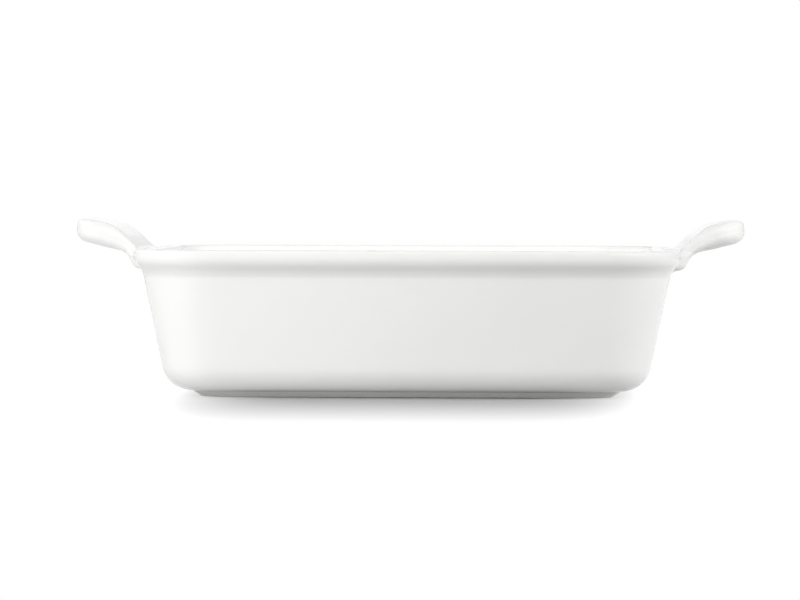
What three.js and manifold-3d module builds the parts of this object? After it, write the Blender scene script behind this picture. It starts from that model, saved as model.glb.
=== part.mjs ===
// Square stoneware baking dish: a drafted basin on a foot ring, a rolled rim and two raised tab handles.
// Millimetres, +Z up. The origin lies on the table under the middle of the dish; the handles stand along X.
import * as THREE from "three";
import Module from "manifold-3d";

const wasm = await Module();
wasm.setup();

// Driving dimensions
const RIM_WIDTH = 246; // across the outside of the rolled rim, both ways
const RIM_HEIGHT = 66; // table to the top of the rim
const RIM_CORNER_RADIUS = 36.5; // outside of the rim, seen from above
const RIM_OVERHANG = 2.4; // rim beyond the line of the wall, at the height of the rim top
const BEAD_HEIGHT = 9; // rolled bead, top to underside
const BEAD_TOP_RADIUS = 2.2;
const BEAD_LOW_RADIUS = 6.5;
const LIP_RADIUS = 2.5; // inner edge of the rim
const COVE_RADIUS = 10.5; // hollow between the bead and the wall
const WALL_DRAFT = THREE.MathUtils.degToRad(11.8);
const WALL = 6; // measured level
const FLOOR = 7;
const BASE_FILLET = 13.5; // wall to underside
const FLOOR_FILLET = 12; // wall to floor, inside
const FOOT_HEIGHT = 2.6;
const FOOT_FACE = 12; // width of the bearing face
const FOOT_SET_IN = 0.5; // foot from the edge of the flat underside
const FOOT_OUTER_SLOPE = 4; // how far the outer side leans in
const FOOT_INNER_SLOPE = 2;
const FOOT_EASE = 0.7;
const FOOT_INNER_CORNER = 8; // inside corners of the foot, seen from above
const HANDLE_ROOT_SET_IN = 3.2; // start of the centreline inside the rim
const HANDLE_ROOT_DROP = 6; // below the top of the rim
const HANDLE_REACH = 31.2; // tip beyond the rim
const HANDLE_TIP_RISE = 8.4; // middle of the tip above the rim
const HANDLE_BEND_REACH = 10.2; // knee of the centreline beyond the rim
const HANDLE_BEND_RISE = 6.5;
const HANDLE_ROOT_WIDTH = 94;
const HANDLE_TIP_WIDTH = 84;
const HANDLE_CORNER_RADIUS = 13; // outer corners, seen from above
const HANDLE_NECK = 6.2; // thickness just clear of the rim
const HANDLE_NECK_AT = 8.7; // along the centreline from its root
const HANDLE_BELLY = 11.6; // thickness under the fingers
const HANDLE_BELLY_AT = 23.7;
const HANDLE_ROOT_FLARE = 4; // how much the root swells to meet the rim
const HANDLE_FLARE_LENGTH = 11.6;
const HANDLE_EDGE_RADIUS = 4.2;
const HANDLE_NOSE = 6; // length over which the tip rounds off
const HANDLE_TIP_FLAT = 2.4; // thickness left at the very tip
const SLIP_JOINT = 0.3; // seam left between two parts that are stuck together before firing

// How finely curves are cut
const CORNER_STEPS = 10;
const ARC_STEPS = 5;
const EDGE_STEPS = 4;
const HANDLE_STEPS = 18;
const LEAST_RADIUS = 0.6;

const NOSE_POWER = 2.4; // how full the round of the handle's tip is
const EDGE_SHARE = 0.48; // most of a handle's thickness that one edge round may take

const RIM_HALF = RIM_WIDTH / 2;
const CORNER_CENTRE = RIM_HALF - RIM_CORNER_RADIUS;
const FLOOR_HEIGHT = FOOT_HEIGHT + FLOOR;
const LEAN = new THREE.Vector2(Math.sin(WALL_DRAFT), Math.cos(WALL_DRAFT));
const OUTWARD = new THREE.Vector2(LEAN.y, -LEAN.x);

// Half-width of the wall's outer face at a height.
function wallHalf(height) {
  return RIM_HALF - RIM_OVERHANG - (RIM_HEIGHT - height) * Math.tan(WALL_DRAFT);
}

// Centre of an arc that joins a level face to a wall line of the given half-width function.
function filletCentre(half, level, radius) {
  const touch = level + radius * (1 - LEAN.x);
  return new THREE.Vector2(half(touch) - radius * LEAN.y, level + radius);
}

const cavityHalf = (height) => wallHalf(height) - WALL;
const baseCentre = filletCentre(wallHalf, FOOT_HEIGHT, BASE_FILLET);
const floorCentre = filletCentre(cavityHalf, FLOOR_HEIGHT, FLOOR_FILLET);

// The cove touches the wall line and the underside of the bead.
const beadLow = new THREE.Vector2(RIM_HALF - BEAD_LOW_RADIUS, RIM_HEIGHT - BEAD_HEIGHT + BEAD_LOW_RADIUS);
const beadTop = new THREE.Vector2(RIM_HALF - BEAD_TOP_RADIUS, RIM_HEIGHT - BEAD_TOP_RADIUS);
const wallHead = new THREE.Vector2(wallHalf(RIM_HEIGHT), RIM_HEIGHT);
const coveStart = wallHead.clone().addScaledVector(OUTWARD, COVE_RADIUS);
const toCove = coveStart.clone().sub(beadLow);
const along = toCove.dot(LEAN);
const coveDrop = along + Math.sqrt((COVE_RADIUS + BEAD_LOW_RADIUS) ** 2 - toCove.lengthSq() + along ** 2);
const coveCentre = coveStart.clone().addScaledVector(LEAN, -coveDrop);
const SEAT_HEIGHT = RIM_HEIGHT - coveDrop * LEAN.y;
const beadToCove = coveCentre.clone().sub(beadLow).angle();

// Points of a rectangle with round corners, anticlockwise.
function roundedRectangle(halfLong, halfWide, radius, steps) {
  const points = [];
  for (let quarter = 0; quarter < 4; quarter += 1) {
    const start = (quarter * Math.PI) / 2;
    const middle = start + Math.PI / 4;
    const x = Math.sign(Math.cos(middle)) * (halfLong - radius);
    const y = Math.sign(Math.sin(middle)) * (halfWide - radius);
    const arc = new THREE.EllipseCurve(x, y, radius, radius, start, start + Math.PI / 2);
    points.push(...arc.getPoints(steps));
  }
  return points;
}

// One closed skin over a list of rings. An endless list joins its last ring to its first; otherwise both ends are capped.
function skin(rings, endless) {
  const size = rings[0].length;
  const points = rings.flat();
  const faces = [];
  const spans = endless ? rings.length : rings.length - 1;
  for (let span = 0; span < spans; span += 1) {
    const low = span * size;
    const high = ((span + 1) % rings.length) * size;
    for (let step = 0; step < size; step += 1) {
      const next = (step + 1) % size;
      faces.push(low + step, low + next, high + next, low + step, high + next, high + step);
    }
  }
  if (!endless) {
    const last = (rings.length - 1) * size;
    for (const [ring, first, turned] of [[rings[0], 0, true], [rings.at(-1), last, false]]) {
      const middle = ring.reduce((sum, point) => sum.add(point), new THREE.Vector3()).divideScalar(size);
      const hub = points.push(middle) - 1;
      for (let step = 0; step < size; step += 1) {
        const here = first + step;
        const next = first + ((step + 1) % size);
        faces.push(hub, turned ? next : here, turned ? here : next);
      }
    }
  }
  const geometry = new THREE.BufferGeometry().setFromPoints(points);
  geometry.setIndex(faces);
  return geometry;
}

// Carries runs of (half-width, height) points round the dish. Each run brings its own law for the corner radius.
function carried(runs, endless) {
  const rings = runs.flatMap(([points, corner]) => points.map(({ x: half, y: height }) => {
    const radius = Math.max(corner(half), LEAST_RADIUS);
    const outline = roundedRectangle(half, half, radius, CORNER_STEPS);
    return outline.map((point) => new THREE.Vector3(point.x, point.y, height));
  }));
  return skin(rings, endless);
}

function solidOf(geometry) {
  const vertProperties = geometry.attributes.position.array;
  const triVerts = Uint32Array.from(geometry.index.array);
  return new wasm.Manifold(new wasm.Mesh({ numProp: 3, vertProperties, triVerts }));
}

function geometryOf(solid) {
  const { vertProperties, triVerts } = solid.getMesh();
  const geometry = new THREE.BufferGeometry();
  geometry.setAttribute("position", new THREE.BufferAttribute(vertProperties, 3));
  geometry.setIndex(new THREE.BufferAttribute(triVerts, 1));
  return geometry;
}

// Corner radius of a level ring. Up the wall the corner's centre stands still.
const wallCorner = (half) => half - CORNER_CENTRE;

// Across a fillet, from where it leaves the wall to the edge of the flat, the corner shrinks ever more slowly.
function filletCorner(half, touch, edge) {
  const span = touch - edge;
  const past = THREE.MathUtils.clamp((touch - half) / span, 0, 1);
  return wallCorner(Math.max(half, touch)) - span * (past - past ** 2 / 2);
}

const baseTouch = wallHalf(FOOT_HEIGHT + BASE_FILLET * (1 - LEAN.x));
const floorTouch = cavityHalf(FLOOR_HEIGHT + FLOOR_FILLET * (1 - LEAN.x));
const baseCorner = (half) => filletCorner(half, baseTouch, baseCentre.x);
const floorCorner = (half) => filletCorner(half, floorTouch, floorCentre.x);

function basinGeometry() {
  const top = SEAT_HEIGHT - SLIP_JOINT;
  const outside = new THREE.Path();
  outside.absarc(baseCentre.x, baseCentre.y, BASE_FILLET, -Math.PI / 2, -WALL_DRAFT, false);
  outside.lineTo(wallHalf(top), top);
  const inside = new THREE.Path();
  inside.absarc(floorCentre.x, floorCentre.y, FLOOR_FILLET, -WALL_DRAFT, -Math.PI / 2, true);
  return carried([
    [outside.getPoints(ARC_STEPS), baseCorner],
    [[new THREE.Vector2(cavityHalf(top), top), ...inside.getPoints(ARC_STEPS)], floorCorner],
  ], false);
}

// The rolled rim, swollen by a clearance when it serves to cope the handles.
function rimGeometry(clearance) {
  const lipHeight = RIM_HEIGHT - LIP_RADIUS;
  const lipHalf = cavityHalf(lipHeight + LIP_RADIUS * LEAN.x) + LIP_RADIUS * LEAN.y;
  const section = new THREE.Path();
  section.absarc(coveCentre.x, coveCentre.y, COVE_RADIUS - clearance, Math.PI - WALL_DRAFT, beadToCove - Math.PI, true);
  section.absarc(beadLow.x, beadLow.y, BEAD_LOW_RADIUS + clearance, beadToCove, Math.PI * 2, false);
  section.absarc(beadTop.x, beadTop.y, BEAD_TOP_RADIUS + clearance, 0, Math.PI / 2, false);
  section.absarc(lipHalf, lipHeight, LIP_RADIUS + clearance, Math.PI / 2, Math.PI - WALL_DRAFT, false);
  section.lineTo(cavityHalf(SEAT_HEIGHT) - clearance, SEAT_HEIGHT - clearance);
  return carried([[section.getPoints(ARC_STEPS), wallCorner]], true);
}

function footGeometry() {
  const top = FOOT_HEIGHT - SLIP_JOINT;
  const outer = baseCentre.x - FOOT_SET_IN;
  const bearingOuter = outer - FOOT_OUTER_SLOPE;
  const bearingInner = bearingOuter - FOOT_FACE;
  const section = new THREE.Path();
  section.moveTo(bearingInner + FOOT_EASE, 0);
  section.lineTo(bearingOuter - FOOT_EASE, 0);
  section.quadraticCurveTo(bearingOuter, 0, bearingOuter + FOOT_EASE, (FOOT_EASE * top) / FOOT_OUTER_SLOPE);
  section.lineTo(outer, top);
  section.lineTo(bearingInner - FOOT_INNER_SLOPE, top);
  section.lineTo(bearingInner - FOOT_EASE, (FOOT_EASE * top) / FOOT_INNER_SLOPE);
  section.quadraticCurveTo(bearingInner, 0, bearingInner + FOOT_EASE, 0);
  const points = section.getPoints(ARC_STEPS).slice(0, -1);
  const footCentre = baseCentre.x - baseCorner(baseCentre.x);
  return carried([[points, (half) => Math.max(half - footCentre, FOOT_INNER_CORNER)]], true);
}

// A tab that leaves the bead on a rising curve and turns level: rounded sections strung along its centreline.
function handleBlank() {
  const centreline = new THREE.QuadraticBezierCurve(
    new THREE.Vector2(RIM_HALF - HANDLE_ROOT_SET_IN, RIM_HEIGHT - HANDLE_ROOT_DROP),
    new THREE.Vector2(RIM_HALF + HANDLE_BEND_REACH, RIM_HEIGHT + HANDLE_BEND_RISE),
    new THREE.Vector2(RIM_HALF + HANDLE_REACH, RIM_HEIGHT + HANDLE_TIP_RISE),
  );
  const length = centreline.getLength();
  const rings = [];
  for (let step = 0; step <= HANDLE_STEPS; step += 1) {
    const share = (1 - Math.cos((Math.PI * step) / HANDLE_STEPS)) / 2;
    const fromRoot = share * length;
    const toTip = length - fromRoot;
    const swell = HANDLE_ROOT_FLARE * (1 - THREE.MathUtils.smoothstep(fromRoot, 0, HANDLE_FLARE_LENGTH));
    const belly = THREE.MathUtils.smoothstep(fromRoot, HANDLE_NECK_AT, HANDLE_BELLY_AT);
    const nose = THREE.MathUtils.clamp(1 - toTip / HANDLE_NOSE, 0, 1);
    const full = THREE.MathUtils.lerp(HANDLE_NECK, HANDLE_BELLY, belly) + swell;
    const thick = Math.max(full * Math.sqrt(1 - nose ** NOSE_POWER), HANDLE_TIP_FLAT);
    const cut = THREE.MathUtils.clamp(HANDLE_CORNER_RADIUS - toTip, 0, HANDLE_CORNER_RADIUS);
    const corner = HANDLE_CORNER_RADIUS - Math.sqrt(HANDLE_CORNER_RADIUS ** 2 - cut ** 2);
    const wide = THREE.MathUtils.lerp(HANDLE_ROOT_WIDTH, HANDLE_TIP_WIDTH, share) / 2 + swell - corner;
    const middle = centreline.getPointAt(share);
    const run = centreline.getTangentAt(share);
    const edge = Math.min(HANDLE_EDGE_RADIUS, thick * EDGE_SHARE);
    rings.push(roundedRectangle(wide, thick / 2, edge, EDGE_STEPS).map(({ x: across, y: through }) => (
      new THREE.Vector3(middle.x - run.y * through, across, middle.y + run.x * through)
    )));
  }
  return skin(rings, false);
}

const rimCutter = solidOf(rimGeometry(SLIP_JOINT));
const handleGeometry = geometryOf(solidOf(handleBlank()).subtract(rimCutter));

const whiteGlaze = new THREE.MeshStandardMaterial({ name: "white_glaze", color: 0xf2f1ec, roughness: 0.15 });
const bareStoneware = new THREE.MeshStandardMaterial({ name: "bare_stoneware", color: 0xdccfb8, roughness: 0.85 });

const dish = new THREE.Group();
dish.name = "square_baking_dish";

function place(name, geometry, material, turn) {
  const mesh = new THREE.Mesh(geometry.clone().rotateZ(turn), material);
  mesh.name = name;
  dish.add(mesh);
}

place("basin", basinGeometry(), whiteGlaze, 0);
place("rim_band", rimGeometry(0), whiteGlaze, 0);
place("foot_ring", footGeometry(), bareStoneware, 0);
place("handle_right", handleGeometry, whiteGlaze, 0);
place("handle_left", handleGeometry, whiteGlaze, Math.PI);

export default dish;
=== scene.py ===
import math

import bpy
import numpy as np
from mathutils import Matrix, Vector


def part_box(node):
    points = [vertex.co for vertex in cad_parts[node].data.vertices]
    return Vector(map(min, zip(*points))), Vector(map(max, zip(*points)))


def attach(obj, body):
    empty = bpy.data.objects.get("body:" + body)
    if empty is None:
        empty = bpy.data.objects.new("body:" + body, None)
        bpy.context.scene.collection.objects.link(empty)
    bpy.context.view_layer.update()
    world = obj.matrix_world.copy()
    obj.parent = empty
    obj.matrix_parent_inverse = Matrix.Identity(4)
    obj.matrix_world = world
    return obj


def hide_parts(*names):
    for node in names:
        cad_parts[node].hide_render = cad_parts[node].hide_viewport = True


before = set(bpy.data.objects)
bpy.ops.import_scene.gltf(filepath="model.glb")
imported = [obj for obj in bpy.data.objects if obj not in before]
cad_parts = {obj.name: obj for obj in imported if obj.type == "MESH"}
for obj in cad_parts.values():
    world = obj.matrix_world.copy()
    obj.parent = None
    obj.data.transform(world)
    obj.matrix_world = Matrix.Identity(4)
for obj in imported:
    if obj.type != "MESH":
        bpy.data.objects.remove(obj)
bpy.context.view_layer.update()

# Sizes taken from the frame, in metres
rim_low, rim_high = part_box("rim_band")
basin_low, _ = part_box("basin")
_, foot_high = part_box("foot_ring")
_, tab_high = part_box("handle_right")

RIM_HALF = rim_high[0]
RIM_TOP = rim_high[2]
SEAT = rim_low[2]
UNDERSIDE = basin_low[2]
FOOT_HALF = foot_high[0]
TIP_REACH = tab_high[0]

# Sizes of the section, in metres
RIM_CORNER = 0.0365
RIM_OVERHANG = 0.0024
BEAD_HEIGHT = 0.009
BEAD_TOP_RADIUS = 0.0022
BEAD_LOW_RADIUS = 0.0065
LIP_RADIUS = 0.0025
# painted light: how far the whiter inside tone fades in over the lip
INSIDE_LIGHT_BLEND = 0.0007
COVE_RADIUS = 0.0105
DRAFT = math.radians(11.8)
WALL = 0.006
FLOOR = 0.007
BASE_FILLET = 0.0135
FLOOR_FILLET = 0.012
FOOT_FACE = 0.012
FOOT_OUTER_SLOPE = 0.0027
FOOT_INNER_SLOPE = 0.002
FOOT_EASE = 0.0007
FOOT_COVE = 0.0011
FOOT_INNER_CORNER = 0.008

# Sizes of a handle, in metres
ROOT_SET_IN = 0.0010
ROOT_DROP = 0.0081
ROOT_LENGTHEN = 0.0003
ROOT_SWELL = 0.0011
ROOT_FLARE = 0.004
FLARE_LENGTH = 0.0116
BEND_REACH = 0.0075
BEND_RISE = 0.0070
TIP_RISE = 0.0082
TIP_SHY = 0.0001
ROOT_WIDTH = 0.094
TIP_WIDTH = 0.084
TAB_CORNER = 0.013
NECK = 0.0055
NECK_AT = 0.0085
BELLY = 0.0109
BELLY_AT = 0.0235
UPPER_EDGE = 0.0028
SIDE_EDGE = 0.0050
LOWER_EDGE = 0.0054
LOWER_STRETCH = 1.35
EDGE_SHARE = 0.94

# Sizes of the skirt in which a handle runs out on the rim, in metres
UPPER_FILLET = 0.0045
LOWER_FILLET = 0.012
ROOT_ROUND = 0.0045
ROOT_SINK = 0.0022
SKIRT_SIDE = 0.012
SKIRT_HALF = 0.012
SKIRT_DROP = 0.005
SKIRT_CORNER = 0.0075
SKIRT_SINK = 0.0004
SKIRT_BELOW = 0.012
SKIRT_LIFT = 0.0001

# How finely surfaces are cut
CORNER_STEPS = 24
SIDE_STEPS = 30
ARC_STEPS = 20
WALL_STEPS = 22
FLAT_STEPS = 14
TAB_EDGE_STEPS = 9
TAB_LONG_STEPS = 34
TAB_SHORT_STEPS = 8
TAB_STATIONS = 40
NOSE_STATIONS = 16
SKIRT_STATIONS = 36

# How closely a handle's points are drawn to its surface, with probes in metres
CURVE_START = -0.4
CURVE_END = 1.3
CURVE_STEPS = 340
NEWTON_STEPS = 6
LEAST_STIFFNESS = 1e-9
SETTLE_STEPS = 14
LEAST_STEEPNESS = 0.25
RELAX_ROUNDS = 40
RELAX_STEPS = 2
PROBE = 1e-5
BEND_PROBE = 3e-4

# How far glaze flows, and the sharpest bend that it follows, as one over a radius in metres
SPREAD_STEPS = 10
BEND_LIMIT = 500

QUARTER_TURN = math.pi / 2
HALF_TURN = math.pi
CORNER_SIGNS = np.array([[1, 1], [-1, 1], [-1, -1], [1, -1]])
FLOOR_HEIGHT = UNDERSIDE + FLOOR
CORNER_CENTRE = RIM_HALF - RIM_CORNER
LEAN = np.array([math.sin(DRAFT), math.cos(DRAFT)])
OUTWARD = np.array([math.cos(DRAFT), -math.sin(DRAFT)])


def wall_half(height):
    """Half-width of the wall's outer face: it falls back from the rim by the tangent of the draft."""
    return RIM_HALF - RIM_OVERHANG - (RIM_TOP - height) * math.tan(DRAFT)


def cavity_half(height):
    """Half-width of the inside: the outer face less the level thickness of the wall."""
    return wall_half(height) - WALL


def fillet_centre(half, level, radius):
    """Centre of the arc that joins a level face to a wall line, a radius away from both."""
    touch = level + radius * (1 - LEAN[0])
    return np.array([half(touch) - radius * LEAN[1], level + radius])


def smoothstep(value, low, high):
    """An S-shaped rise from 0 at low to 1 at high: thrice the share squared, less twice its cube."""
    share = np.clip((value - low) / (high - low), 0, 1)
    return share * share * (3 - 2 * share)


def arc(centre, radius, start, end, steps=ARC_STEPS):
    """Points of a circle: its centre plus its radius along the cosine and sine of even angles."""
    angle = np.linspace(start, end, steps + 1)
    return centre + radius * np.column_stack([np.cos(angle), np.sin(angle)])


def straight(start, end, steps):
    """Points spread evenly from start to end, without the two ends."""
    share = np.linspace(0, 1, steps + 1)[1:-1, None]
    return np.asarray(start) * (1 - share) + np.asarray(end) * share


base_centre = fillet_centre(wall_half, UNDERSIDE, BASE_FILLET)
floor_centre = fillet_centre(cavity_half, FLOOR_HEIGHT, FLOOR_FILLET)
bead_low = np.array([RIM_HALF - BEAD_LOW_RADIUS, RIM_TOP - BEAD_HEIGHT + BEAD_LOW_RADIUS])
bead_top = np.array([RIM_HALF - BEAD_TOP_RADIUS, RIM_TOP - BEAD_TOP_RADIUS])
lip_height = RIM_TOP - LIP_RADIUS
lip_half = cavity_half(lip_height + LIP_RADIUS * LEAN[0]) + LIP_RADIUS * LEAN[1]
lip_centre = np.array([lip_half, lip_height])

# The cove touches the wall line and the underside of the bead.
cove_start = np.array([wall_half(RIM_TOP), RIM_TOP]) + COVE_RADIUS * OUTWARD
to_cove = cove_start - bead_low
along_wall = to_cove @ LEAN
cove_reach = (COVE_RADIUS + BEAD_LOW_RADIUS) ** 2 - to_cove @ to_cove + along_wall ** 2
cove_centre = cove_start - (along_wall + math.sqrt(cove_reach)) * LEAN
bead_to_cove = math.atan2(*(cove_centre - bead_low)[::-1])

cove_run = arc(cove_centre, COVE_RADIUS, HALF_TURN - DRAFT, bead_to_cove + HALF_TURN)
low_run = arc(bead_low, BEAD_LOW_RADIUS, bead_to_cove, 0)[1:]
top_run = arc(bead_top, BEAD_TOP_RADIUS, 0, QUARTER_TURN)


def eased_corner(half, touch_half, edge_half):
    """Corner radius of a level ring. Up the wall the corner's centre stands still, so the radius is the
    half-width less that centre. Across the fillet it shrinks ever more slowly, along a parabola that
    leaves the wall smoothly."""
    span = touch_half - edge_half
    past = np.clip((touch_half - half) / span, 0, 1)
    across = touch_half - CORNER_CENTRE - span * (past - past ** 2 / 2)
    return np.where(half > touch_half, half - CORNER_CENTRE, across)


def ring_corners(half, touch_half, edge_half):
    """Corner radii of rings that cross a wall, a fillet and a flat, where they shrink with the ring."""
    flat = eased_corner(edge_half, touch_half, edge_half) * half / edge_half
    return np.where(half < edge_half, flat, eased_corner(half, touch_half, edge_half))


def quarter_trip(quarter, corner_steps, side_steps):
    """A quarter of the walk round a ring. Each step hangs on a corner, given by the signs of its centre,
    and faces some way: round a corner the facing turns by a quarter, and along a side the hanging point
    slides to the next corner."""
    turn = np.concatenate([np.linspace(0, 1, corner_steps + 1), np.ones(side_steps - 1)])
    slide = np.concatenate([np.zeros(corner_steps + 1), np.arange(1, side_steps) / side_steps])[:, None]
    facing = (quarter + turn) * QUARTER_TURN
    here = CORNER_SIGNS[quarter]
    after = CORNER_SIGNS[(quarter + 1) % len(CORNER_SIGNS)]
    return here * (1 - slide) + after * slide, np.column_stack([np.cos(facing), np.sin(facing)])


def round_trip(corner_steps, side_steps):
    """The walk round a ring, quarter by quarter, with the steps of each side in turn."""
    quarters = [quarter_trip(quarter, corner_steps, steps) for quarter, steps in enumerate(side_steps)]
    hung, facing = zip(*quarters)
    return np.concatenate(hung), np.concatenate(facing)


def carried(section, corner):
    """A section of (half-width, height) points carried round the dish: each ring's corner centres, plus
    the corner radius along the facing."""
    hung, facing = round_trip(CORNER_STEPS, [SIDE_STEPS] * len(CORNER_SIGNS))
    inset = (section[:, 0] - corner)[:, None, None]
    level = inset * hung + corner[:, None, None] * facing
    height = np.broadcast_to(section[:, 1, None, None], level.shape[:2] + (1,))
    return np.concatenate([level, height], axis=2)


def facing_out(grid, endless):
    """Normals of a grid that closes on itself along its rows: the cross product of the slopes along and
    across it. The slope across is a central difference weighted by the distance between the rows."""
    along = np.roll(grid, -1, axis=1) - np.roll(grid, 1, axis=1)
    padded = np.concatenate([grid[-1:], grid, grid[:1]]) if endless else grid
    gaps = np.linalg.norm(np.diff(padded, axis=0), axis=2).mean(axis=1)
    way = np.concatenate([[0], np.cumsum(gaps)])
    across = np.gradient(padded, way, axis=0)
    across = across[1:-1] if endless else across
    normals = np.cross(along, across)
    return normals / np.linalg.norm(normals, axis=2, keepdims=True)


def grid_faces(rows, columns, endless):
    """Quads between neighbouring rows of a grid whose columns close on themselves."""
    row = np.arange(rows if endless else rows - 1)[:, None]
    column = np.arange(columns)[None]
    after = (row + 1) % rows
    beside = (column + 1) % columns
    corners = [
        row * columns + column,
        row * columns + beside,
        after * columns + beside,
        after * columns + column,
    ]
    return np.stack(corners, axis=2).reshape(-1, len(corners))


def fan_faces(first, columns, hub, turned):
    """Triangles from a hub point to each step of a ring."""
    here = first + np.arange(columns)
    beside = first + (np.arange(columns) + 1) % columns
    pair = (beside, here) if turned else (here, beside)
    return np.column_stack([np.full(columns, hub), *pair])


def end_fans(rows, columns):
    """Triangles that close both ends of a grid, each on its own hub point after the grid's points."""
    count = rows * columns
    return np.concatenate([
        fan_faces(0, columns, count, True),
        fan_faces(count - columns, columns, count + 1, False),
    ])


def spread(bend):
    """A bend shared out over the rows and columns beside, as glaze flows: each value takes a quarter of
    both of its neighbours and half of itself, over and over."""
    bend = np.clip(bend, -BEND_LIMIT, BEND_LIMIT)
    for _ in range(SPREAD_STEPS):
        rows = np.pad(bend, ((1, 1), (0, 0)), "edge")
        bend = (rows[:-2] + 2 * bend + rows[2:]) / 4
        bend = (np.roll(bend, 1, axis=1) + 2 * bend + np.roll(bend, -1, axis=1)) / 4
    return bend


def bend_across(grid, normals):
    """How sharply each row of a grid turns, as one over its radius and negative in a hollow: the change
    of the normal along the change of place, over the square of that change."""
    move = np.gradient(grid, axis=0)
    swing = np.gradient(normals, axis=0)
    return np.sum(move * swing, axis=2) / np.sum(move * move, axis=2)


def add(name, data):
    """A new object in the scene."""
    made = bpy.data.objects.new(name, data)
    bpy.context.scene.collection.objects.link(made)
    return made


NO_FACES = np.empty((0, 3), int)


def new_piece(name, points, normals, marks, quads, triangles, material, node):
    """A closed mesh with its own normals and marks, riding on the dish's one body in place of its node.
    Marks are named values at its points, for its material."""
    mesh = bpy.data.meshes.new(name)
    mesh.from_pydata(points, [], [*quads.tolist(), *triangles.tolist()])
    mesh.polygons.foreach_set("use_smooth", np.ones(len(mesh.polygons), bool))
    mesh.normals_split_custom_set_from_vertices(normals)
    for mark, values in marks.items():
        attribute = mesh.attributes.new(mark, "FLOAT", "POINT")
        attribute.data.foreach_set("value", values.astype(np.float32))
    mesh.materials.append(material)
    piece = add(name, mesh)
    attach(piece, "root")
    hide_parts(node)


def body_section():
    """The run of points round the glazed body in three parts: from the middle of the underside out and
    up the wall, through the cove and over bead and lip, and down the inside to the floor's middle."""
    base = arc(base_centre, BASE_FILLET, -QUARTER_TURN, -DRAFT)
    lip = arc(lip_centre, LIP_RADIUS, QUARTER_TURN, HALF_TURN - DRAFT)
    floor = arc(floor_centre, FLOOR_FILLET, -DRAFT, -QUARTER_TURN)
    seat_in = np.array([cavity_half(SEAT), SEAT])
    outside = [
        straight((0, UNDERSIDE), base[0], FLAT_STEPS),
        base,
        straight(base[-1], cove_run[0], WALL_STEPS),
    ]
    rolled = [
        cove_run,
        low_run,
        top_run,
        lip,
        straight(lip[-1], seat_in, FLAT_STEPS),
        seat_in[None],
    ]
    inside = [
        straight(seat_in, floor[0], WALL_STEPS),
        floor,
        straight(floor[-1], (0, FLOOR_HEIGHT), FLAT_STEPS),
    ]
    return [np.concatenate(run) for run in (outside, rolled, inside)]


outside, rolled, inside = body_section()
outer_touch = wall_half(UNDERSIDE + BASE_FILLET * (1 - LEAN[0]))
inner_touch = cavity_half(FLOOR_HEIGHT + FLOOR_FILLET * (1 - LEAN[0]))
outer_edge = base_centre[0]
inner_edge = floor_centre[0]

body_grid = np.concatenate([
    carried(outside, ring_corners(outside[:, 0], outer_touch, outer_edge)),
    carried(rolled, rolled[:, 0] - CORNER_CENTRE),
    carried(inside, ring_corners(inside[:, 0], inner_touch, inner_edge)),
])
body_normals = facing_out(body_grid, False)
body_bend = spread(bend_across(body_grid, body_normals))
# painted light: 1 inside the dish, where the glaze is painted whiter to stand in for the light that falls
# inside
body_inside_painted_light = np.concatenate([
    np.zeros(len(outside)),
    smoothstep(lip_half - rolled[:, 0], 0, INSIDE_LIGHT_BLEND),
    np.ones(len(inside)),
])
body_columns = body_grid.shape[1]
seat_out_row = len(outside)
seat_in_row = len(outside) + len(rolled) - 1


def basin_piece(material):
    """Floor and walls: the body's rows up to the seat of the rim, and on from there down the inside.
    Both ends run in to a hub, and a level ring at the seat closes the top."""
    rows = np.r_[0:seat_out_row + 1, seat_in_row:len(body_grid)]
    hubs = np.array([[0, 0, UNDERSIDE], [0, 0, FLOOR_HEIGHT]])
    points = np.concatenate([body_grid[rows].reshape(-1, 3), hubs])
    normals = np.concatenate([body_normals[rows].reshape(-1, 3), [[0, 0, -1], [0, 0, 1]]])
    marks = {
        "bend": np.concatenate([body_bend[rows].ravel(), np.zeros(len(hubs))]),
        "inside_painted_light": np.concatenate([np.repeat(body_inside_painted_light[rows], body_columns), [0, 1]]),
    }
    quads = grid_faces(len(rows), body_columns, False)
    triangles = end_fans(len(rows), body_columns)
    new_piece("glazed_basin", points, normals, marks, quads, triangles, material, "basin")


def rim_piece(material):
    """The rolled rim: the body's rows from the seat, over the bead and the lip, back to the seat."""
    rows = np.r_[seat_out_row:seat_in_row + 1]
    points = body_grid[rows].reshape(-1, 3)
    normals = body_normals[rows].reshape(-1, 3)
    marks = {
        "bend": body_bend[rows].ravel(),
        "inside_painted_light": np.repeat(body_inside_painted_light[rows], body_columns),
    }
    quads = grid_faces(len(rows), body_columns, True)
    new_piece("rolled_rim", points, normals, marks, quads, NO_FACES, material, "rim_band")


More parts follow.
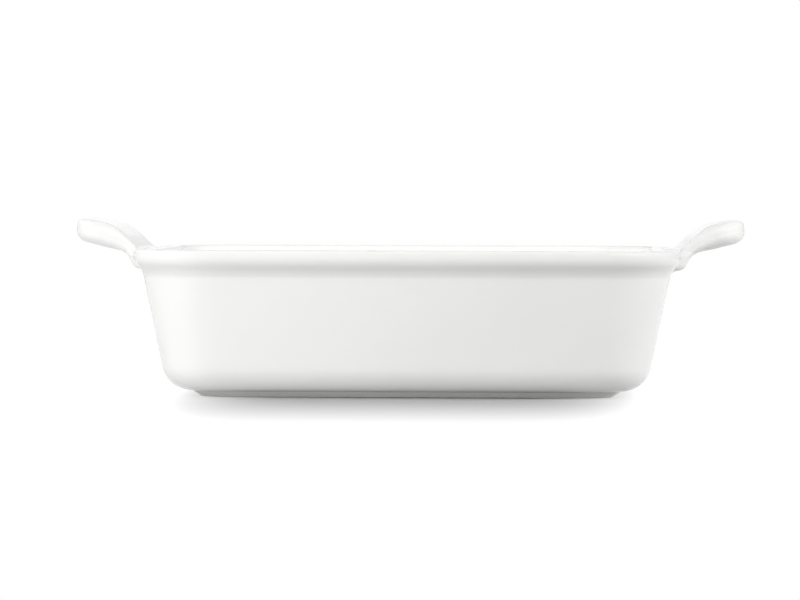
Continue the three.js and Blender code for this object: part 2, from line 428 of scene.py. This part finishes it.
def foot_piece(material):
    """The foot ring: its bearing face, eased edges and sloping sides, with a small cove of glaze under
    the basin. Its outer corners share the centres of the basin's lowest ring."""
    bearing_out = FOOT_HALF - FOOT_OUTER_SLOPE
    bearing_in = bearing_out - FOOT_FACE
    top_in = bearing_in - FOOT_INNER_SLOPE
    outer_slope = math.atan2(UNDERSIDE, FOOT_OUTER_SLOPE)
    inner_slope = math.atan2(UNDERSIDE, FOOT_INNER_SLOPE)
    ease_out = np.array([bearing_out - FOOT_EASE, FOOT_EASE])
    ease_in = np.array([bearing_in + FOOT_EASE, FOOT_EASE])
    cove = np.array([FOOT_HALF + FOOT_COVE, UNDERSIDE - FOOT_COVE])
    downward = HALF_TURN + QUARTER_TURN
    section = np.concatenate([
        straight((bearing_in, 0), (bearing_out, 0), FLAT_STEPS),
        arc(ease_out, FOOT_EASE, -QUARTER_TURN, outer_slope - QUARTER_TURN, TAB_EDGE_STEPS),
        arc(cove, FOOT_COVE, QUARTER_TURN + outer_slope, QUARTER_TURN, TAB_EDGE_STEPS),
        straight((FOOT_HALF + FOOT_COVE, UNDERSIDE), (top_in, UNDERSIDE), FLAT_STEPS),
        np.array([[top_in, UNDERSIDE]]),
        arc(ease_in, FOOT_EASE, downward - inner_slope, downward, TAB_EDGE_STEPS),
    ])
    corner_centre = outer_edge - eased_corner(outer_edge, outer_touch, outer_edge)
    grid = carried(section, np.maximum(section[:, 0] - corner_centre, FOOT_INNER_CORNER))
    points = grid.reshape(-1, 3)
    normals = facing_out(grid, True).reshape(-1, 3)
    quads = grid_faces(*grid.shape[:2], True)
    new_piece("bare_foot", points, normals, {}, quads, NO_FACES, material, "foot_ring")


# A handle's centreline: a quadratic curve from inside the bead, over the bend, to the middle of the tip
curve_points = np.array([
    [RIM_HALF - ROOT_SET_IN, RIM_TOP - ROOT_DROP],
    [RIM_HALF + BEND_REACH, RIM_TOP + BEND_RISE],
    [TIP_REACH - TIP_SHY, RIM_TOP + TIP_RISE],
])


def centreline(share):
    """Point, slope and bend of the quadratic curve at a share of its parameter."""
    first, bend, last = curve_points
    share = np.asarray(share)[..., None]
    point = first * (1 - share) ** 2 + 2 * bend * share * (1 - share) + last * share ** 2
    slope = 2 * (bend - first) * (1 - share) + 2 * (last - bend) * share
    return point, slope, 2 * (first - 2 * bend + last)


curve_shares = np.linspace(CURVE_START, CURVE_END, CURVE_STEPS + 1)
curve_steps = np.linalg.norm(np.diff(centreline(curve_shares)[0], axis=0), axis=1)
curve_way = np.concatenate([[0], np.cumsum(curve_steps)])
curve_way -= np.interp(0, curve_shares, curve_way)
TAB_LENGTH = np.interp(1, curve_shares, curve_way)


def tab_half_sizes(way):
    """Half-width and half-thickness of a handle at a distance along its centreline. It tapers from root
    to tip, flares and swells where it meets the rim, and fills out into a belly."""
    taper = (TIP_WIDTH - ROOT_WIDTH) / 2 * np.clip(way / TAB_LENGTH, 0, 1)
    flare = ROOT_FLARE * np.clip(1 - way / FLARE_LENGTH, 0, 1) ** 2
    belly = (BELLY - NECK) / 2 * smoothstep(way, NECK_AT, BELLY_AT)
    swell = ROOT_SWELL * (1 - smoothstep(way, 0, NECK_AT))
    return ROOT_WIDTH / 2 + taper + flare, NECK / 2 + belly + swell


def rounded(first, second, radius):
    """Distance to the meeting of two faces, given the distance to each, with its edge rounded."""
    first = first + radius
    second = second + radius
    outside_both = np.hypot(np.maximum(first, 0), np.maximum(second, 0))
    return outside_both + np.minimum(np.maximum(first, second), 0) - radius


def along_and_through(flat):
    """How far a point lies along a handle's centreline and to its upper side. Newton's steps bring the
    curve's parameter to the nearest point, where the line to the point is square to the slope."""
    first, last = curve_points[0, 0], curve_points[-1, 0]
    share = np.clip((flat[..., 0] - first) / (last - first), 0, 1)
    for _ in range(NEWTON_STEPS):
        point, slope, bend = centreline(share)
        apart = point - flat
        pull = np.sum(apart * slope, axis=-1)
        stiffness = np.sum(slope * slope, axis=-1) + apart @ bend
        share = np.clip(share - pull / np.maximum(stiffness, LEAST_STIFFNESS), CURVE_START, CURVE_END)
    point, slope, _ = centreline(share)
    slope = slope / np.linalg.norm(slope, axis=-1, keepdims=True)
    apart = flat - point
    way = np.interp(share, curve_shares, curve_way) + np.sum(apart * slope, axis=-1)
    return way, slope[..., 0] * apart[..., 1] - slope[..., 1] * apart[..., 0]


def tab_distance(points):
    """Signed distance to a handle. Seen from above it is a tapered strip with round outer corners. Its
    edges are rounded all along, more at the sides than at the tip, and it stops at its root."""
    way, through = along_and_through(points[..., ::2])
    wide, thick = tab_half_sizes(way)
    aside = np.abs(points[..., 1]) - wide
    past_tip = way - TAB_LENGTH
    outline = rounded(past_tip, aside, TAB_CORNER)
    at_side = smoothstep(aside - past_tip, -TAB_CORNER, TAB_CORNER)
    upper = UPPER_EDGE + (SIDE_EDGE - UPPER_EDGE) * at_side
    edge = np.minimum(np.where(through > 0, upper, LOWER_EDGE), thick * EDGE_SHARE)
    stretch = np.where(through > 0, 1, LOWER_STRETCH)
    strip = rounded(outline / stretch, np.abs(through) - thick, edge)
    return rounded(strip, -way - ROOT_LENGTHEN, ROOT_ROUND)


def rim_distance(points):
    """Signed distance to the rolled rim's section beside a handle: the top, the two arcs of the bead
    with the upright face between them, the cove and the wall, each in its own sector."""
    half, height = points[..., 0], points[..., 2]
    flat = points[..., ::2]
    from_top = np.linalg.norm(flat - bead_top, axis=-1)
    from_low = np.linalg.norm(flat - bead_low, axis=-1)
    from_cove = np.linalg.norm(flat - cove_centre, axis=-1)
    joint = (cove_centre - bead_low) / np.linalg.norm(cove_centre - bead_low)
    past_joint = (half - bead_low[0]) * joint[1] - (height - bead_low[1]) * joint[0]
    above = height > bead_top[1]
    return np.select(
        [
            above & (half > bead_top[0]),
            above,
            height > bead_low[1],
            past_joint < 0,
            (flat - cove_centre) @ LEAN >= 0,
        ],
        [
            from_top - BEAD_TOP_RADIUS,
            height - RIM_TOP,
            half - RIM_HALF,
            from_low - BEAD_LOW_RADIUS,
            COVE_RADIUS - from_cove,
        ],
        (flat - cove_centre) @ OUTWARD + COVE_RADIUS,
    )


def joined_distance(points):
    """Distance to the handle and rim in one: the smaller of the two, lowered where they are close to
    fill the corner with a fillet, by a sixth of its reach times the cube of how near they are. The
    fillet is wide under the handle and tight above it."""
    rim = rim_distance(points)
    tab = tab_distance(points)
    upward = smoothstep(points[..., 2], bead_low[1], RIM_TOP)
    reach = LOWER_FILLET + (UPPER_FILLET - LOWER_FILLET) * upward
    near = np.maximum(reach - np.abs(rim - tab), 0) / reach
    return np.minimum(rim - SKIRT_LIFT, tab) - reach * near ** 3 / 6


def slope_of(distance, points):
    """Gradient of a distance by central differences along the three axes."""
    probes = np.eye(3) * PROBE
    rises = [distance(points + probe) - distance(points - probe) for probe in probes]
    return np.stack(rises, axis=-1) / (2 * PROBE)


def bend_of(distance, points):
    """How sharply the surface of a distance turns: the sum of its second differences on three axes."""
    probes = np.eye(3) * BEND_PROBE
    both = sum(distance(points + probe) + distance(points - probe) for probe in probes)
    return (both - 2 * len(probes) * distance(points)) / BEND_PROBE ** 2


def settled(distance, points, steps):
    """Points moved down the gradient of a distance until they lie where it is zero."""
    for _ in range(steps):
        slope = slope_of(distance, points)
        steep = np.sum(slope * slope, axis=-1, keepdims=True)
        points = points - distance(points)[..., None] * slope / np.maximum(steep, LEAST_STEEPNESS)
    return points


def relaxed(distance, grid, rows):
    """A settled grid with its first rows drawn even: each point between the end rows moves to the middle
    of its four neighbours and is settled again, over and over."""
    for _ in range(RELAX_ROUNDS):
        beside = np.roll(grid, 1, axis=1) + np.roll(grid, -1, axis=1)
        middle = (beside[1:rows] + grid[:rows - 1] + grid[2:rows + 1]) / 4
        grid[1:rows] = settled(distance, middle, RELAX_STEPS)
    return grid


# The walk round a handle's section, with more steps along its two long sides
tab_hung, tab_facing = round_trip(TAB_EDGE_STEPS, [TAB_LONG_STEPS, TAB_SHORT_STEPS] * 2)


def tab_rows():
    """Rings along a handle from its neck to its tip. Each is a rounded rectangle square to the
    centreline, narrowed by the round corners seen from above and thinned by the round of the edge."""
    nose = TAB_LENGTH - LOWER_EDGE
    body = np.linspace(NECK_AT, nose, TAB_STATIONS + 1)[:-1]
    nose_turn = np.linspace(0, QUARTER_TURN, NOSE_STATIONS + 1)
    way = np.concatenate([body, nose + LOWER_EDGE * np.sin(nose_turn)])
    wide, thick = tab_half_sizes(way)
    past_edge = np.clip(way - nose, 0, LOWER_EDGE)
    shrink = LOWER_EDGE - np.sqrt(LOWER_EDGE ** 2 - past_edge ** 2)
    past_corner = np.clip(way - (TAB_LENGTH - TAB_CORNER), 0, TAB_CORNER)
    corner_cut = TAB_CORNER - np.sqrt(TAB_CORNER ** 2 - past_corner ** 2)
    half_wide = wide - np.maximum(corner_cut, shrink)
    half_thick = thick - shrink
    edge = np.minimum(UPPER_EDGE, half_thick * EDGE_SHARE)
    across = (half_wide - edge)[:, None] * tab_hung[:, 0] + edge[:, None] * tab_facing[:, 0]
    through = (half_thick - edge)[:, None] * tab_hung[:, 1] + edge[:, None] * tab_facing[:, 1]
    point, slope, _ = centreline(np.interp(way, curve_way, curve_shares))
    slope = (slope / np.linalg.norm(slope, axis=1, keepdims=True))[:, None]
    flat = point[:, None] + through[..., None] * np.stack([-slope[..., 1], slope[..., 0]], axis=-1)
    return np.stack([flat[..., 0], across, flat[..., 1]], axis=-1)


def skirt_end():
    """The ring where a handle's fillet runs out on the rim: a rounded rectangle laid on the rim's
    surface, with one side along the rim and the other round its section."""
    half_wide = ROOT_WIDTH / 2 + SKIRT_SIDE
    across = (half_wide - SKIRT_CORNER) * tab_hung[:, 0] + SKIRT_CORNER * tab_facing[:, 0]
    round_rim = (SKIRT_HALF - SKIRT_CORNER) * tab_hung[:, 1] + SKIRT_CORNER * tab_facing[:, 1]
    outline = np.concatenate([
        [cove_run[0] - SKIRT_BELOW * LEAN],
        cove_run,
        low_run,
        top_run,
        [[lip_half, RIM_TOP]],
    ])
    way = np.concatenate([[0], np.cumsum(np.linalg.norm(np.diff(outline, axis=0), axis=1))])
    middle = np.interp((bead_low[1] + bead_top[1]) / 2, outline[:, 1], way) - SKIRT_DROP
    half = np.interp(middle + round_rim, way, outline[:, 0])
    height = np.interp(middle + round_rim, way, outline[:, 1])
    return np.column_stack([half, across, height])


def tab_surface():
    """A handle's grid, normals and bend: a buried root, a skirt that runs out on the rim, and rings from
    neck to tip. All but the root is settled on the surface of handle and rim joined by a fillet."""
    rows = tab_rows()
    share = np.linspace(0, 1, SKIRT_STATIONS + 1)[:-1, None, None]
    skirt = skirt_end() * (1 - share) + rows[0] * share
    shown = settled(joined_distance, np.concatenate([skirt, rows]), SETTLE_STEPS)
    shown = relaxed(joined_distance, shown, SKIRT_STATIONS)
    bend = spread(bend_of(joined_distance, shown))
    normals = slope_of(joined_distance, shown)
    normals /= np.linalg.norm(normals, axis=-1, keepdims=True)
    shown[0] -= SKIRT_SINK * normals[0]
    root = shown[:1] - ROOT_SINK * normals[:1]
    grid = np.concatenate([root, shown])
    normals = np.concatenate([normals[:1], normals])
    return grid, normals, np.concatenate([bend[:1], bend])


tab_grid, tab_normals, tab_bend = tab_surface()


def tab_piece(name, node, turn, material):
    """A handle: its grid, with both ends run in to a hub, turned about the dish's middle to its side."""
    hubs = np.stack([tab_grid[0].mean(axis=0), tab_grid[-1].mean(axis=0)])
    points = np.concatenate([tab_grid.reshape(-1, 3), hubs])
    normals = np.concatenate([tab_normals.reshape(-1, 3), [[-1, 0, 0], [1, 0, 0]]])
    marks = {"bend": np.concatenate([tab_bend.ravel(), np.zeros(len(hubs))])}
    cos, sin = math.cos(turn), math.sin(turn)
    spin = np.array([[cos, -sin, 0], [sin, cos, 0], [0, 0, 1]])
    points = points @ spin.T
    normals = normals @ spin.T
    quads = grid_faces(*tab_grid.shape[:2], False)
    triangles = end_fans(*tab_grid.shape[:2])
    new_piece(name, points, normals, marks, quads, triangles, material, node)


NOISE_DETAIL = 2
NOISE_MEAN = 0.5

# A Mix node's sockets for colours, which share their names with those for numbers
MIX_SHARE, MIX_FIRST, MIX_SECOND, MIX_RESULT = 0, 6, 7, 2


class Wire:
    """An output socket of a material, on which + - * add Math nodes."""

    def __init__(self, finish, socket):
        self.finish = finish
        self.socket = socket

    def _math(self, operation, first, second):
        """A Math node on two numbers or wires."""
        return self.finish.node("ShaderNodeMath", {"operation": operation}, {0: first, 1: second})

    def __add__(self, other):
        return self._math("ADD", self, other)

    def __radd__(self, other):
        return self._math("ADD", other, self)

    def __sub__(self, other):
        return self._math("SUBTRACT", self, other)

    def __rsub__(self, other):
        return self._math("SUBTRACT", other, self)

    def __mul__(self, other):
        return self._math("MULTIPLY", self, other)

    def __rmul__(self, other):
        return self._math("MULTIPLY", other, self)


class Finish:
    """A node tree that grows by one kind of call."""

    def __init__(self, tree):
        self.tree = tree
        tree.nodes.clear()

    def node(self, kind, settings=None, sockets=None, output=0):
        """A node with its settings and its sockets' values or wires, as a wire from its output."""
        made = self.tree.nodes.new(kind)
        for name, value in (settings or {}).items():
            setattr(made, name, value)
        for name, value in (sockets or {}).items():
            if isinstance(value, Wire):
                self.tree.links.new(value.socket, made.inputs[name])
            else:
                made.inputs[name].default_value = value
        return Wire(self, made.outputs[output]) if made.outputs else None

    def mix(self, share, first, second):
        """One colour turning into another as share goes from 0 to 1."""
        sockets = {MIX_SHARE: share, MIX_FIRST: first, MIX_SECOND: second}
        return self.node("ShaderNodeMix", {"data_type": "RGBA"}, sockets, MIX_RESULT)

    def rise(self, value, low, high):
        """An S-shaped rise from 0 where value is low to 1 where it is high."""
        return self.node("ShaderNodeMapRange", {"interpolation_type": "SMOOTHSTEP"}, {
            "Value": value, "From Min": low, "From Max": high,
        })

    def noise(self, place, scale, detail=NOISE_DETAIL):
        """Soft noise about its mean, with a feature every 1 / scale metres."""
        return self.node("ShaderNodeTexNoise", {}, {"Vector": place, "Scale": scale, "Detail": detail})

    def specks(self, place, scale, chance, size):
        """Round dots at scattered points: 1 inside a dot. Only the given share of the points has one."""
        sockets = {"Vector": place, "Scale": scale}
        away = self.node("ShaderNodeTexVoronoi", {}, sockets, "Distance")
        draw = self.node("ShaderNodeTexVoronoi", {}, sockets, "Color")
        lot = self.node("ShaderNodeSeparateColor", {}, {"Color": draw}, "Red")
        picked = self.node("ShaderNodeMath", {"operation": "LESS_THAN"}, {0: lot, 1: chance})
        return picked * (1 - self.rise(away, size * scale / 2, size * scale))

    def surface(self, colour, roughness, height):
        """The closing surface: a colour, a roughness, and a bump of a height in metres."""
        bump = {"Strength": 1, "Distance": 1, "Height": height}
        shader = self.node("ShaderNodeBsdfPrincipled", {}, {
            "Base Color": colour,
            "Roughness": roughness,
            "IOR": GLAZE_INDEX,
            "Normal": self.node("ShaderNodeBump", {}, bump, "Normal"),
        })
        self.node("ShaderNodeOutputMaterial", {}, {"Surface": shader})


def new_finish(name):
    """A new material, and its node tree emptied to be built up."""
    material = bpy.data.materials.new(name)
    material.use_nodes = True
    return material, Finish(material.node_tree)


# The glaze: colours, bends as one over a radius in metres, sizes in metres, counts in a metre, and shares
GLAZE = (0.84, 0.84, 0.828, 1)
GLAZE_CLOUDED = (0.815, 0.818, 0.812, 1)
GLAZE_THIN = (0.79, 0.76, 0.71, 1)
# painted shade: greyer glaze in hollows, partly real pooling and partly shade painted into the cove under
# the bead
GLAZE_POOLED_AND_PAINTED_SHADE = (0.755, 0.757, 0.75, 1)
# painted light: whiter glaze inside the dish, standing in for the brighter light inside
GLAZE_INSIDE_PAINTED_LIGHT = (0.92, 0.92, 0.912, 1)
GLAZE_SPECK = (0.55, 0.5, 0.43, 1)
GLAZE_INDEX = 1.5
GLAZE_ROUGHNESS = 0.05
STREAK_ROUGHNESS = 0.05
STREAKS_IN_METRE = 45
THIN_FROM, THIN_TO = 170, 450
THIN_LEAST = 0.02
THIN_MOTTLED = 0.1
POOL_AND_SHADE_FROM, POOL_AND_SHADE_TO = 40, 110
POOLED_AND_SHADE_SHARE = 0.8
CLOUDS_IN_METRE = 16
CLOUD_DETAIL = 3
CLOUD_FROM, CLOUD_TO = 0.35, 0.7
CLOUD_SHARE = 0.6
MOTTLES_IN_METRE = 130
MOTTLE_DETAIL = 3
MOTTLE_SHARE = 0.3
SPECKS_IN_METRE = 110
SPECK_CHANCE = 0.5
SPECK_SIZE = 0.00025
SPECK_SHARE = 0.5
RIPPLE = 0.00003
RIPPLES_IN_METRE = 24
PEEL = 0.000002
PEELS_IN_METRE = 190


def white_glaze():
    """White glaze that has flowed over pale clay: soft clouds in the coat, thinner and warmer on sharp
    edges, greyer in hollows as partly real pooled glaze and partly painted shade, whiter inside the dish
    as painted light, a few specks, and a slight ripple. The bend attribute tells edges from hollows, and
    a second attribute tells the inside, where the painted light goes."""
    material, finish = new_finish("white_glaze")
    place = finish.node("ShaderNodeTexCoord", output="Object")
    bend = finish.node("ShaderNodeAttribute", {"attribute_name": "bend"}, output="Fac")
    inside_painted_light = finish.node("ShaderNodeAttribute", {"attribute_name": "inside_painted_light"}, output="Fac")
    clouds = finish.rise(finish.noise(place, CLOUDS_IN_METRE, CLOUD_DETAIL), CLOUD_FROM, CLOUD_TO)
    mottle = finish.noise(place, MOTTLES_IN_METRE, MOTTLE_DETAIL)
    thin = finish.rise(bend, THIN_FROM, THIN_TO)
    # painted shade and pooling: this mask rises in hollows such as the cove
    pooled_and_painted_shade = finish.rise(0 - bend, POOL_AND_SHADE_FROM, POOL_AND_SHADE_TO)
    specks = finish.specks(place, SPECKS_IN_METRE, SPECK_CHANCE, SPECK_SIZE)
    colour = finish.mix(clouds * CLOUD_SHARE + mottle * MOTTLE_SHARE, GLAZE, GLAZE_CLOUDED)
    # painted light: the inside of the dish painted whiter
    colour = finish.mix(inside_painted_light, colour, GLAZE_INSIDE_PAINTED_LIGHT)
    colour = finish.mix(thin * (THIN_LEAST + THIN_MOTTLED * mottle), colour, GLAZE_THIN)
    colour = finish.mix(pooled_and_painted_shade * POOLED_AND_SHADE_SHARE, colour, GLAZE_POOLED_AND_PAINTED_SHADE)
    colour = finish.mix(specks * SPECK_SHARE, colour, GLAZE_SPECK)
    roughness = GLAZE_ROUGHNESS + STREAK_ROUGHNESS * finish.noise(place, STREAKS_IN_METRE)
    ripple = RIPPLE * finish.noise(place, RIPPLES_IN_METRE)
    finish.surface(colour, roughness, ripple + PEEL * finish.noise(place, PEELS_IN_METRE))
    return material


# The bare clay: colours, sizes in metres, counts in a metre, and shares
CLAY = (0.66, 0.57, 0.45, 1)
CLAY_PALE = (0.76, 0.69, 0.58, 1)
CLAY_SPECK = (0.3, 0.22, 0.15, 1)
TOASTED = (0.55, 0.4, 0.27, 1)
TOASTED_SHARE = 0.5
TOASTED_BAND = 0.00006
CLAY_ROUGHNESS = 0.8
GLAZE_LINE = 0.00008
GLAZE_EDGE = 0.00005
GLAZE_WAVER = 0.0001
WAVERS_IN_METRE = 70
GRIT = 0.00005
GRAINS_IN_METRE = 700
GRAIN_DETAIL = 4
GRAIN_FROM, GRAIN_TO = 0.3, 0.7
SAND_IN_METRE = 400
SAND_CHANCE = 0.5
SAND_SIZE = 0.0002


def bare_stoneware():
    """The foot: clay wiped bare where it stands, sandy and specked, and glazed up its sides from a
    wavering line with a toasted edge. Height above the table tells one from the other."""
    material, finish = new_finish("bare_stoneware")
    place = finish.node("ShaderNodeTexCoord", output="Object")
    height = finish.node("ShaderNodeSeparateXYZ", {}, {"Vector": place}, "Z")
    above_line = height - (GLAZE_LINE + GLAZE_WAVER * (finish.noise(place, WAVERS_IN_METRE) - NOISE_MEAN))
    glazed = finish.rise(above_line, 0, GLAZE_EDGE)
    toasted = finish.rise(above_line, -TOASTED_BAND, 0)
    grain = finish.noise(place, GRAINS_IN_METRE, GRAIN_DETAIL)
    colour = finish.mix(finish.rise(grain, GRAIN_FROM, GRAIN_TO), CLAY, CLAY_PALE)
    colour = finish.mix(finish.specks(place, SAND_IN_METRE, SAND_CHANCE, SAND_SIZE), colour, CLAY_SPECK)
    colour = finish.mix(toasted * TOASTED_SHARE, colour, TOASTED)
    colour = finish.mix(glazed, colour, GLAZE)
    roughness = CLAY_ROUGHNESS - glazed * (CLAY_ROUGHNESS - GLAZE_ROUGHNESS)
    finish.surface(colour, roughness, GRIT * grain * (1 - glazed))
    return material


# The photograph's view: the camera is two metres in front, a little to the right and just above the rim
CAMERA_DISTANCE = 2.0
CAMERA_TURN = math.radians(1.5)
CAMERA_ROLL = math.radians(0.17)
CAMERA_HEIGHT = 0.0876
AIM_ASIDE = -0.0054
AIM_HEIGHT = 0.0415
LENS = 191.9
SENSOR = 36

# The studio's lamps: where each stands, the length of its side, and its power
LAMP_AIM = np.array([0, 0, 0.03])
LAMPS = {
    "front_left_softbox": ((-0.676, -0.965, 0.549), 0.9, 5.95),
    "high_left_softbox": ((-0.527, -0.753, 0.919), 0.9, 6.5),
    "low_front_softbox": ((-0.193, -1.376, 0.171), 0.3, 3.85),
    "left_softbox": ((-1.089, -0.292, 0.41), 0.7, 1.0),
    "back_left_softbox": ((-0.753, 0.527, 0.771), 0.8, 4.6),
    "right_softbox": ((1.03, -0.182, 0.34), 0.6, 9.4),
    "low_back_softbox": ((0.15, 1.35, 0.36), 0.6, 10.0),
}

# Cards that only reflections show: where each stands, its width and height, and its shade of grey
FLAGS = {
    "front_flag": ((0, -2.6, 0.8), 4.0, 1.6, 0.1),
    "left_wall_flag": ((-0.45, 0.35, 0.026), 0.62, 0.052, 0.7),
    "left_handle_flag": ((-0.45, 0.35, 0.134), 0.62, 0.132, 0.6),
    "right_wall_flag": ((0.45, 0.35, 0.026), 0.62, 0.052, 0.5),
    "right_handle_flag": ((0.45, 0.35, 0.134), 0.62, 0.132, 0.55),
    "back_flag": ((0, 0.6, 0.2), 0.25, 0.22, 0.84),
}

# The floor: sizes in metres, shades, and where the painted shadow's outline fades to white
GROUND_WIDTH = 12.0
LEFT_SHADE = 0.80
RIGHT_SHADE = 0.39
SHADE_SPREAD = 0.2
# painted shadow: the darker shade of the board that the camera and reflections see near the dish
PAINTED_SHADOW_SHADE = 0.385
SHADOW_HALF = 0.112
SHADOW_REACH = 0.385
BACK_REACH = 0.25
SHADOW_KEPT_TO = 0.275
SHADOW_GONE_BY = 0.80
WHITE = (1, 1, 1, 1)
PICTURE_RAYS = ("Is Camera Ray", "Is Glossy Ray", "Is Transmission Ray")


def looking(start, end):
    """Turn that points an object's -Z from start to end with its +Y up."""
    return Vector(end - start).to_track_quat("-Z", "Y").to_euler()


def set_camera():
    """The camera stands at its distance, turned about the dish, and looks a little aside of it."""
    side = np.array([math.cos(CAMERA_TURN), math.sin(CAMERA_TURN), 0])
    back = np.array([math.sin(CAMERA_TURN), -math.cos(CAMERA_TURN), 0])
    up = np.array([0, 0, 1])
    stand = back * CAMERA_DISTANCE + up * CAMERA_HEIGHT
    camera = add("camera", bpy.data.cameras.new("camera"))
    camera.data.lens = LENS
    camera.data.sensor_width = SENSOR
    camera.location = stand
    camera.rotation_euler = looking(stand, side * AIM_ASIDE + up * AIM_HEIGHT)
    camera.rotation_euler.rotate_axis("Z", CAMERA_ROLL)
    bpy.context.scene.camera = camera


def set_lamp(name, place, size, power):
    """A square softbox that faces the dish."""
    lamp = add(name, bpy.data.lights.new(name, "AREA"))
    lamp.data.shape = "SQUARE"
    lamp.data.size = size
    lamp.data.energy = power
    lamp.location = place
    lamp.rotation_euler = looking(np.array(place), LAMP_AIM)
    lamp.visible_glossy = False


def new_card(name, wide, high):
    """A level rectangle about the origin, with an empty material that isn't sampled as a lamp."""
    corners = np.column_stack([CORNER_SIGNS * (wide / 2, high / 2), np.zeros(len(CORNER_SIGNS))])
    mesh = bpy.data.meshes.new(name)
    mesh.from_pydata(corners, [], [range(len(corners))])
    material, finish = new_finish(name)
    material.cycles.emission_sampling = "NONE"
    mesh.materials.append(material)
    return add(name, mesh), finish


def picture_rays(finish):
    """1 for the rays that carry the picture: straight to the camera, mirrored, or let through."""
    camera, glossy, through = (finish.node("ShaderNodeLightPath", output=kind) for kind in PICTURE_RAYS)
    return camera + glossy + through


def set_flag(name, place, wide, high, shade):
    """A grey card that only reflections show. It draws the edges of white glaze on a white ground."""
    card, finish = new_card(name, wide, high)
    card.location = place
    card.rotation_euler = looking(np.array(place), np.array([0, 0, place[2]]))
    card.visible_camera = False
    card.visible_diffuse = False
    card.visible_shadow = False
    glow = finish.node("ShaderNodeEmission", {}, {"Color": WHITE, "Strength": shade})
    finish.node("ShaderNodeOutputMaterial", {}, {"Surface": glow})


def set_ground():
    """The floor: a pale matt board that keeps the dish's real shadow from the lamps and turns white all
    round.
    To the camera and in reflections the board is darker near the dish, a painted shadow that deepens the
    real one. How far out a point is comes from its place over the painted shadow's half-width, cubed, and
    over its reach in front or behind. The light that it throws up on the dish fades from left to right."""
    ground, finish = new_card("ground", GROUND_WIDTH, GROUND_WIDTH)
    place = finish.node("ShaderNodeTexCoord", output="Object")
    aside = finish.node("ShaderNodeSeparateXYZ", {}, {"Vector": place}, "X")
    behind = finish.node("ShaderNodeSeparateXYZ", {}, {"Vector": place}, "Y")
    before = finish.node("ShaderNodeMath", {"operation": "MINIMUM"}, {0: behind, 1: 0})
    across = aside * (1 / SHADOW_HALF)
    along = behind * (1 / BACK_REACH) + before * (1 / SHADOW_REACH - 1 / BACK_REACH)
    apart = finish.node("ShaderNodeCombineXYZ", {}, {"X": across * across * across, "Y": along})
    reach = finish.node("ShaderNodeVectorMath", {"operation": "LENGTH"}, {0: apart}, "Value")
    outward = finish.node("ShaderNodeMapRange", {}, {
        "Value": reach, "From Min": SHADOW_KEPT_TO, "From Max": SHADOW_GONE_BY,
    })
    bounced = finish.node("ShaderNodeMapRange", {}, {
        "Value": aside, "From Min": -SHADE_SPREAD, "From Max": SHADE_SPREAD,
        "To Min": LEFT_SHADE, "To Max": RIGHT_SHADE,
    })
    seen = picture_rays(finish)
    # painted shadow: to the camera and in reflections the board takes the painted shadow's darker shade
    shade = bounced - seen * (bounced - PAINTED_SHADOW_SHADE)
    board = finish.node("ShaderNodeBsdfPrincipled", {}, {
        "Base Color": shade, "Roughness": 1, "Specular IOR Level": 0,
    })
    glow = finish.node("ShaderNodeEmission", {}, {"Color": WHITE, "Strength": 1})
    shown = finish.node("ShaderNodeMixShader", {}, {0: outward * seen, 1: board, 2: glow})
    finish.node("ShaderNodeOutputMaterial", {}, {"Surface": shown})


def set_world():
    """White to the camera and in reflections, and no light on anything else."""
    world = bpy.data.worlds.new("studio")
    world.use_nodes = True
    finish = Finish(world.node_tree)
    dark = finish.node("ShaderNodeBackground", {}, {"Color": WHITE, "Strength": 0})
    white = finish.node("ShaderNodeBackground", {}, {"Color": WHITE, "Strength": 1})
    shown = finish.node("ShaderNodeMixShader", {}, {0: picture_rays(finish), 1: dark, 2: white})
    finish.node("ShaderNodeOutputWorld", {}, {"Surface": shown})
    bpy.context.scene.world = world


glaze = white_glaze()
clay = bare_stoneware()
basin_piece(glaze)
rim_piece(glaze)
foot_piece(clay)
tab_piece("right_handle", "handle_right", 0, glaze)
tab_piece("left_handle", "handle_left", HALF_TURN, glaze)

set_camera()
for lamp_name, lamp_setting in LAMPS.items():
    set_lamp(lamp_name, *lamp_setting)
for flag_name, flag_setting in FLAGS.items():
    set_flag(flag_name, *flag_setting)
set_ground()
set_world()
bpy.context.scene.view_settings.view_transform = "Standard"
